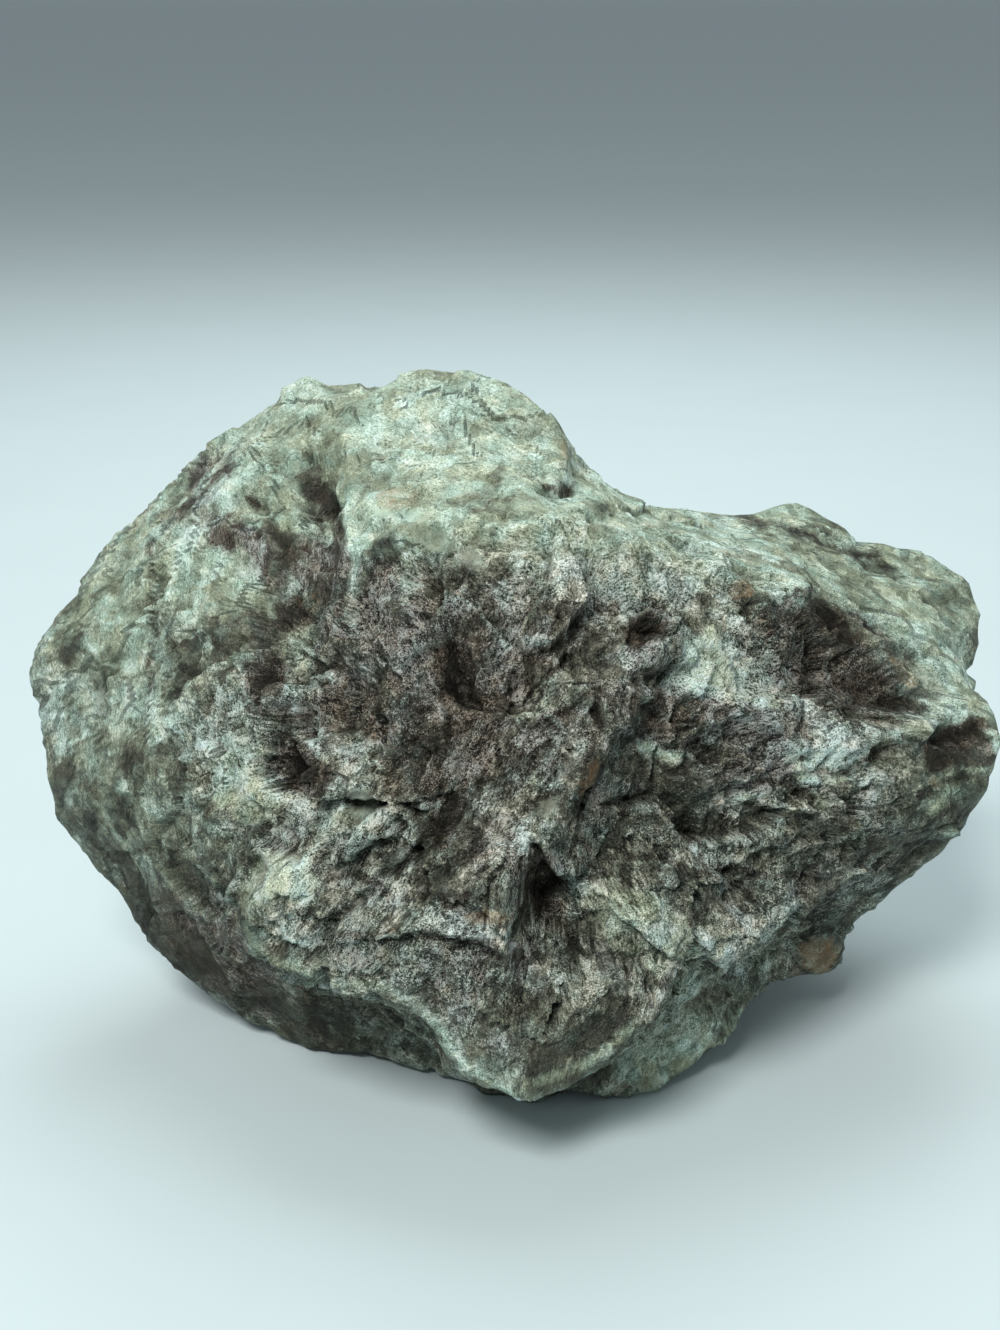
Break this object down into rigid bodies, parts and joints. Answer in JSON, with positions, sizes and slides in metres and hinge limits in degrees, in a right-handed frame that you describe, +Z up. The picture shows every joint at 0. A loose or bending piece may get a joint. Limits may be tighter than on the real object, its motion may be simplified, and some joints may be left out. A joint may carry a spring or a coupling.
{
  "type": "quartz specimen",
  "caption": "Rough broken hand specimen of massive grey-green quartz rock, domed on the left and drawn out to the right, resting on a small flat spot.",
  "frame": {"origin": "on the surface the stone rests on, under the middle of its bounding box", "axes": "+Z up, +X towards the stone's drawn-out right end, -Y towards the broken front face"},
  "size_m": [0.1028, 0.0701, 0.0657],
  "materials": {
    "quartz": "rough broken grey-green quartz with sugary grains, fibrous streaks, pale green top faces and rust-brown stains"
  },
  "bodies": {
    "root": {"quartz_stone": "quartz"}
  },
  "joints": []
}
